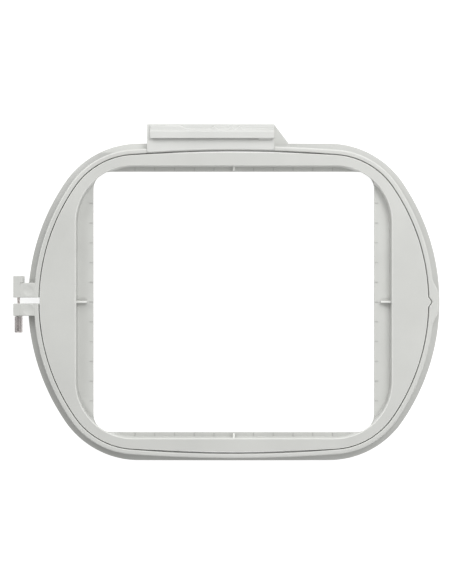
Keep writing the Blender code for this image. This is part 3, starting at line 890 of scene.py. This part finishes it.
def add_marks(built):
    """The measuring marks: fine ribs on the ledge along all four edges of the window."""
    heights = (LEDGE_TOP - MARK_HEIGHT, LEDGE_TOP + MARK_HEIGHT)
    start = 0.35 * MM
    for k in range(-MARK_COUNT, MARK_COUNT + 1):
        middle = k * MARK_STEP
        across = (middle - MARK_HALF, middle + MARK_HALF)
        for side in (-1, 1):
            reach_x = sorted((side * (WINDOW[0] + start), side * (WINDOW[0] + MARK_LENGTH)))
            reach_y = sorted((side * (WINDOW[1] + start), side * (WINDOW[1] + MARK_LENGTH)))
            add_box(built, reach_x, across, heights)
            if k:
                add_box(built, across, reach_y, heights)
    soften(built, 0.1 * MM, 1)


def mark_painted_shade(vertex):
    """1 on the top of a measuring mark, which takes painted shade."""
    return 1.0 if 0.8 * MARK_HEIGHT < vertex.co.z - LEDGE_TOP < 1.2 * MARK_HEIGHT else 0.0


def make_inner_frame():
    built = bmesh.new()
    add_sweep(built, inner_rings())
    obj = finished("inner_moulding", built, inner_plastic)
    join(obj, "stiffeners", add_stiffeners)
    join(obj, "gussets", add_gussets)
    join(obj, "marks", add_marks)
    # The measuring marks' tops take painted shade
    settle(obj, no_highlight_below=LEDGE_TOP + 1.5 * MM, painted_shade_of=mark_painted_shade)
    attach(obj, "inner")
    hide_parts("inner_frame")


# ---------------------------------------------------------------- connector

def seat_curve(left, right, steps, inset):
    """The ring's inner wall from left to right, moved outwards by the inset."""
    wall = barrel(grown(GAP_OUT, inset))
    places = [left + (right - left) * k / steps for k in range(steps + 1)]
    return [(x, crossing(wall, x=abs(x))) for x in places]


def add_connector_block(built):
    add_box(built, (CONN_LEFT, CONN_RIGHT), (CONN_FRONT, CONN_BACK), (PAD_TOP + FIT_GAP, PLATE_TOP))
    soften(built, 0.6 * MM, 4)


TONGUE_ROUND = 2.2 * MM


def add_connector_tongue(built):
    """The plate's tongue over the seat, its broad rounded front flush with the ring's inner wall."""
    left = CONN_LEFT + 0.01 * MM
    right = CONN_RIGHT - 0.01 * MM
    back = [(x, CONN_FRONT + 4 * MM) for x in (right, left)]
    low = SEAT_TOP + FIT_GAP
    top = PLATE_TOP - 0.01 * MM
    levels = [(0.15 * MM, low), (0.0, low + 0.15 * MM)]
    for step in range(7):
        angle = math.radians(90 * step / 6)
        level = top - TONGUE_ROUND * (1 - math.sin(angle))
        levels.append((TONGUE_ROUND * (1 - math.cos(angle)), level))
    loops = []
    for inset, z in levels:
        loops.append([(x, y, z) for x, y in seat_curve(left, right, 48, inset) + back])
    add_loft(built, loops)


CAM_CHAMFER = 1.1 * MM


def between(first, second, share):
    """The outline that lies this share of the way from one outline to another with as many points."""
    return [(a + (c - a) * share, b + (d - b) * share) for (a, b), (c, d) in zip(first, second)]


def add_chamfered(built, outline, inner, flat, low, high):
    """A prism with a chamfered top edge, from three outlines of as many points, each inside the last."""
    round_off = 0.15 * MM
    levels = [
        (outline, low),
        (outline, high - CAM_CHAMFER - round_off),
        (between(outline, inner, 0.06), high - CAM_CHAMFER + round_off),
        (between(outline, inner, 0.90), high - round_off),
        (inner, high),
        (flat, high),
    ]
    add_loft(built, [[(x, y, z) for x, y in points] for points, z in levels])


def cam_outline(inset):
    """The coded edge: one long high stretch, a slope and three small peaks, then round the front."""
    left = RAIL_LEFT + 0.6 * inset
    right = CONN_RIGHT - 0.03 * MM - 0.4 * inset
    shift = 0.41 * inset
    blunt = 0.35 * MM
    edge = [(left, CAM_HIGH - inset)]
    edge += [(CAM_SLOPE[0] - shift, CAM_HIGH - inset), (CAM_SLOPE[1] - shift, CAM_LOW - inset)]
    for x in CAM_BUMPS:
        edge.append((x - CAM_BUMP_HALF + shift, CAM_LOW - inset))
        edge.append((x - blunt, CAM_HIGH - blunt - inset))
        edge.append((x + blunt, CAM_HIGH - blunt - inset))
        edge.append((x + CAM_BUMP_HALF - shift, CAM_LOW - inset))
    edge.append((right, CAM_LOW - inset))
    front = RAIL_BACK - 2.5 * MM
    return edge + [(right, front), (left, front)]


def add_cam(built):
    low = PLATE_TOP - 0.6 * MM
    outline, inner, flat = (cam_outline(inset * MM) for inset in (0.0, 0.85, 1.3))
    add_chamfered(built, outline, inner, flat, low, CAM_TOP)


def rail_section():
    """The rail across: chamfered along its back, rounded in front, undercut below the front."""
    bottom = PLATE_TOP - 0.4 * MM
    edge = 0.45 * MM
    section = [
        (RAIL_BACK, bottom),
        (RAIL_BACK, CAM_TOP - 0.35 * MM),
        (RAIL_BACK - 0.05 * MM, CAM_TOP - 0.1 * MM),
        (RAIL_BACK - 1.1 * MM, RAIL_TOP - 0.15 * MM),
        (RAIL_BACK - 1.4 * MM, RAIL_TOP),
        (RAIL_BACK - 1.8 * MM, RAIL_TOP),
        (RAIL_FRONT + 2 * edge, RAIL_TOP),
    ]
    for k in range(5):
        angle = math.radians(90 + 90 * k / 4)
        y = RAIL_FRONT + edge + edge * math.cos(angle)
        section.append((y, RAIL_TOP - edge + edge * math.sin(angle)))
    return section + [
        (RAIL_FRONT, RAIL_UNDERCUT + 0.2 * MM),
        (RAIL_FRONT + 0.2 * MM, RAIL_UNDERCUT),
        (RAIL_STEM, RAIL_UNDERCUT),
        (RAIL_STEM, bottom),
    ]


def add_rail(built):
    """The rail, its ends slightly rounded off."""
    left = RAIL_LEFT + 0.03 * MM
    right = CONN_RIGHT - 0.05 * MM
    middle = (RAIL_FRONT + RAIL_BACK) / 2
    end = [(0.0, 0.35 * MM), (0.12 * MM, 0.12 * MM), (0.4 * MM, 0.0)]
    stations = [(left + inwards, tuck) for inwards, tuck in end]
    stations += [(right - inwards, tuck) for inwards, tuck in reversed(end)]
    loops = []
    for x, tuck in stations:
        loop = []
        for y, z in rail_section():
            side = math.copysign(tuck / 2, middle - y)
            loop.append((x, y + side, z - tuck if z > RAIL_UNDERCUT + 0.5 * MM else z))
        loops.append(loop)
    add_loft(built, loops)


def add_detent(built):
    """The small stop under the rail near its right end."""
    y_range = (DETENT_FRONT, RAIL_STEM + 1 * MM)
    add_box(built, DETENT_X, y_range, (PLATE_TOP - 0.3 * MM, RAIL_UNDERCUT + 0.6 * MM))
    soften(built, 0.3 * MM, 3)


def add_rear_groove(built):
    """The groove along the rear face, open at its right end, which the machine's arm slides into."""
    x_range = (REAR_GROOVE_LEFT, CONN_RIGHT + WALL)
    add_box(built, x_range, (CONN_BACK - REAR_GROOVE_DEPTH, CONN_BACK + WALL), REAR_GROOVE_HEIGHTS)


def add_pockets(built):
    """Hollows in the underside, between the blocks that the screws go into."""
    places = connector_screw_places()
    for left, right in zip(places, places[1:]):
        x_range = (left.x + SCREW_BLOCK_HALF, right.x - SCREW_BLOCK_HALF)
        add_box(built, x_range, POCKET_Y, (THROUGH_LOW, POCKET_TOP))


def add_blind_holes(built):
    add_screw_holes(built, BLIND_HOLE_RADIUS, BLIND_HOLE_TOP, 24)


def make_connector():
    built = bmesh.new()
    add_connector_block(built)
    obj = finished("connector_moulding", built, connector_plastic)
    join(obj, "tongue", add_connector_tongue)
    join(obj, "cam", add_cam)
    join(obj, "rail", add_rail)
    join(obj, "detent", add_detent)
    cut(obj, "rear_groove", add_rear_groove)
    cut(obj, "pockets", add_pockets)
    cut(obj, "blind_holes", add_blind_holes)
    settle(obj)
    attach(obj, "outer")
    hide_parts("connector_body")


# ---------------------------------------------------------------- screws, washer and nut

FLUTES = 10
FLUTE_DEPTH = 1.1 * MM
SHANK_RADIUS = 1.45 * MM
THREAD_PITCH = 0.5 * MM
THREAD_DEPTH = 0.16 * MM
SLOT_HALF = 0.6 * MM
SLOT_DEPTH = 1.4 * MM
NUT_HOLE_RADIUS = 1.6 * MM
PAN_HEAD_TOP = 1.5 * MM
PAN_SHANK_RADIUS = 1.3 * MM
PAN_ROOT_RADIUS = 0.95 * MM
CROSS_ARM = 1.5 * MM
CROSS_HALF = 0.27 * MM
CROSS_DEPTH = 0.8 * MM


def add_fluted_head(built, low, high, radius):
    """The head: straight flutes between two turned chamfers."""
    sides = FLUTES * 16
    chamfer = 0.7 * MM
    # Each as place along Y, radius, and share of the flutes' depth
    rings = [
        (low, radius - chamfer * 0.7, 0.8),
        (low + chamfer * 0.25, radius - chamfer * 0.35, 0.9),
        (low + chamfer * 0.8, radius, 1.0),
        (high - chamfer * 0.6, radius, 1.0),
        (high - chamfer * 0.25, radius - chamfer * 0.3, 0.3),
        (high, radius - chamfer * 0.6, 0.0),
    ]
    loops = []
    for place, size, share in rings:
        loop = []
        for k in range(sides):
            angle = 2 * math.pi * k / sides
            wave = 0.5 - 0.5 * math.cos(FLUTES * angle)
            distance = size - FLUTE_DEPTH * share * wave**1.5
            loop.append((distance * math.cos(angle), place, distance * math.sin(angle)))
        loops.append(loop)
    add_loft(built, loops)


def add_thread(built, low, high, radius):
    """The shank: a fine thread as a row of turned ridges, with a chamfered end."""
    root = radius - THREAD_DEPTH
    profile = [(low, root)]
    for k in range(int((high - 1.0 * MM - low) / THREAD_PITCH)):
        for share, size in ((0.15, root), (0.45, radius), (0.60, radius), (0.95, root)):
            profile.append((low + k * THREAD_PITCH + share * THREAD_PITCH, size))
    profile += [(high - 0.5 * MM, root), (high, radius - 0.5 * MM)]
    add_turned(built, profile, 32)


def make_clamp_screw():
    low = SCREW_LOW.y - MIDDLE_Y
    high = SCREW_HIGH.y - MIDDLE_Y
    radius = (SCREW_HIGH.x - SCREW_LOW.x) / 2
    head_face = WASHER_LOW.y - MIDDLE_Y - 0.2 * MM
    built = bmesh.new()
    add_fluted_head(built, low, head_face, radius)
    obj = finished("thumb_screw", built, screw_steel)
    join(obj, "shank", lambda helper: add_thread(helper, head_face - 1 * MM, high, SHANK_RADIUS))
    slot = ((-SLOT_HALF, SLOT_HALF), (low - MM, low + SLOT_DEPTH), (-2 * radius, 2 * radius))
    cut(obj, "driver_slot", lambda helper: add_box(helper, *slot))
    obj.location = MIDDLE + screw_axis()
    # The screw's grooves take painted shade
    settle(obj, 30, painted_shade_of=groove_painted_shade)
    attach(obj, "screw")
    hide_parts("clamp_screw")


def make_washer():
    low = WASHER_LOW.y - MIDDLE_Y
    high = WASHER_HIGH.y - MIDDLE_Y
    radius = (WASHER_HIGH.x - WASHER_LOW.x) / 2
    edge = 0.12 * MM
    profile = [(low, radius - edge), (low + edge, radius), (high - edge, radius), (high, radius - edge)]
    built = bmesh.new()
    add_turned(built, profile, 64)
    obj = finished("flat_washer", built, zinc_steel)
    hole = [(low - MM, BORE_RADIUS), (high + MM, BORE_RADIUS)]
    cut(obj, "washer_hole", lambda helper: add_turned(helper, hole, 40))
    obj.location = MIDDLE + screw_axis()
    settle(obj)
    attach(obj, "washer")
    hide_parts("clamp_washer")


def make_nut():
    half = (NUT_HIGH.x - NUT_LOW.x) / 2
    low = NUT_LOW.y - MIDDLE_Y
    high = NUT_HIGH.y - MIDDLE_Y
    built = bmesh.new()
    add_box(built, (-half, half), (low, high), (-half, half))
    soften(built, 0.25 * MM, 3)
    obj = finished("square_nut", built, zinc_steel)
    hole = [(low - MM, NUT_HOLE_RADIUS), (high + MM, NUT_HOLE_RADIUS)]
    cut(obj, "nut_hole", lambda helper: add_turned(helper, hole, 40))
    obj.location = MIDDLE + screw_axis()
    settle(obj)
    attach(obj, "outer")
    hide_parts("clamp_nut")


def pan_screw_profile(low, high, radius):
    """A self-tapping screw from its head up, as (height, radius)."""
    thread_start = PAN_HEAD_TOP + 0.6 * MM
    profile = [
        (low, radius - 0.9 * MM),
        (low + 0.15 * MM, radius - 0.5 * MM),
        (low + 0.5 * MM, radius - 0.1 * MM),
        (low + 0.75 * MM, radius),
        (PAN_HEAD_TOP - 0.1 * MM, radius),
        (PAN_HEAD_TOP, radius - 0.1 * MM),
        (PAN_HEAD_TOP, PAN_SHANK_RADIUS),
    ]
    for turn in range(9):
        for share, size in ((0.0, PAN_ROOT_RADIUS), (0.45, PAN_SHANK_RADIUS), (0.55, PAN_SHANK_RADIUS)):
            profile.append((thread_start + (turn + share) * MM, size))
    return [(height, size) for height, size in profile if height <= high] + [(high, 0.5 * MM)]


def add_cross(built, top):
    """The cross recess, from below the screw up to this height."""
    quarter = [(CROSS_HALF, CROSS_HALF), (CROSS_HALF, CROSS_ARM), (-CROSS_HALF, CROSS_ARM)]
    outline = []
    for _ in range(4):
        outline += quarter
        quarter = [(-y, x) for x, y in quarter]
    add_prism(built, outline, -MM, top)


def make_connector_screw(number):
    """A pan head screw with a cross recess, its head at the bottom."""
    node = f"connector_screw_{number}"
    low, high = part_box(node)
    profile = pan_screw_profile(low.z, high.z, (high.x - low.x) / 2)
    built = bmesh.new()
    add_loft(built, [[(x, y, z) for x, y in circle(size, 32)] for z, size in profile])
    obj = finished(f"pan_screw_{number}", built, zinc_steel)
    cut(obj, "recess", lambda helper: add_cross(helper, low.z + CROSS_DEPTH))
    place = (low + high) / 2
    obj.location = (place.x, place.y, 0.0)
    settle(obj)
    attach(obj, "outer")
    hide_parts(node)


# ---------------------------------------------------------------- stage, light and camera

def make_floor():
    """A plain pale floor that glows a little, so that it shows as white as the photograph's ground, and
    that reaches the horizon in a low view."""
    half_size = 60.0
    material, _, shader = shader_of("pale_floor")
    shader.inputs["Base Color"].default_value = (0.36, 0.36, 0.36, 1.0)
    shader.inputs["Roughness"].default_value = 0.9
    shader.inputs["Emission Color"].default_value = (1.0, 1.0, 1.0, 1.0)
    shader.inputs["Emission Strength"].default_value = 0.82
    built = bmesh.new()
    bmesh.ops.create_grid(built, x_segments=1, y_segments=1, size=half_size)
    mesh = bpy.data.meshes.new("floor")
    built.to_mesh(mesh)
    built.free()
    mesh.materials.append(material)
    floor = bpy.data.objects.new("floor", mesh)
    floor.location.z = -0.2 * MM
    bpy.context.scene.collection.objects.link(floor)


# Soft lights aimed at the middle: turn from +Y towards +X and height in degrees, distance, size, watts
SOFT_LIGHTS = {
    "key": (30, 45, 1.4, 0.8, 5.8),
    "high": (30, 60, 2.4, 0.9, 11.2),
    "right": (90, 50, 1.5, 0.8, 2.8),
    "rear": (0, 30, 2.4, 0.9, 5.0),
    "rear_left": (315, 30, 2.4, 0.9, 19.4),
    "front_high": (180, 60, 2.4, 0.9, 12.6),
}


def make_light():
    world = bpy.data.worlds.new("soft_room")
    world.use_nodes = True
    background = world.node_tree.nodes["Background"]
    background.inputs["Color"].default_value = (1.0, 1.0, 1.0, 1.0)
    background.inputs["Strength"].default_value = 0.30
    bpy.context.scene.world = world
    for name, (turn, height, distance, size, power) in SOFT_LIGHTS.items():
        data = bpy.data.lights.new(name, "AREA")
        data.shape = "SQUARE"
        data.size = size
        data.energy = power
        light = bpy.data.objects.new(name, data)
        outwards = Vector((0.0, math.cos(math.radians(height)), math.sin(math.radians(height))))
        outwards.rotate(Matrix.Rotation(-math.radians(turn), 3, "Z"))
        light.location = distance * outwards
        light.rotation_euler = (-outwards).to_track_quat("-Z", "Y").to_euler()
        bpy.context.scene.collection.objects.link(light)


def make_camera():
    """Straight above the hoop, a little over a metre up. The portrait picture takes in its picture_height
    at the ledge's level."""
    height = 1.150
    picture_height = 0.5914
    data = bpy.data.cameras.new("camera")
    data.sensor_fit = "VERTICAL"
    data.sensor_height = 24.0
    data.lens = data.sensor_height * (height - LEDGE_TOP) / picture_height
    camera = bpy.data.objects.new("camera", data)
    camera.location = (-1.3 * MM, 0.15 * MM, height)
    bpy.context.scene.collection.objects.link(camera)
    bpy.context.scene.camera = camera


make_outer_frame()
make_inner_frame()
make_connector()
make_clamp_screw()
make_washer()
make_nut()
for screw_number in (1, 2, 3, 4):
    make_connector_screw(screw_number)
make_floor()
make_light()
make_camera()
bpy.context.scene.view_settings.view_transform = "Standard"
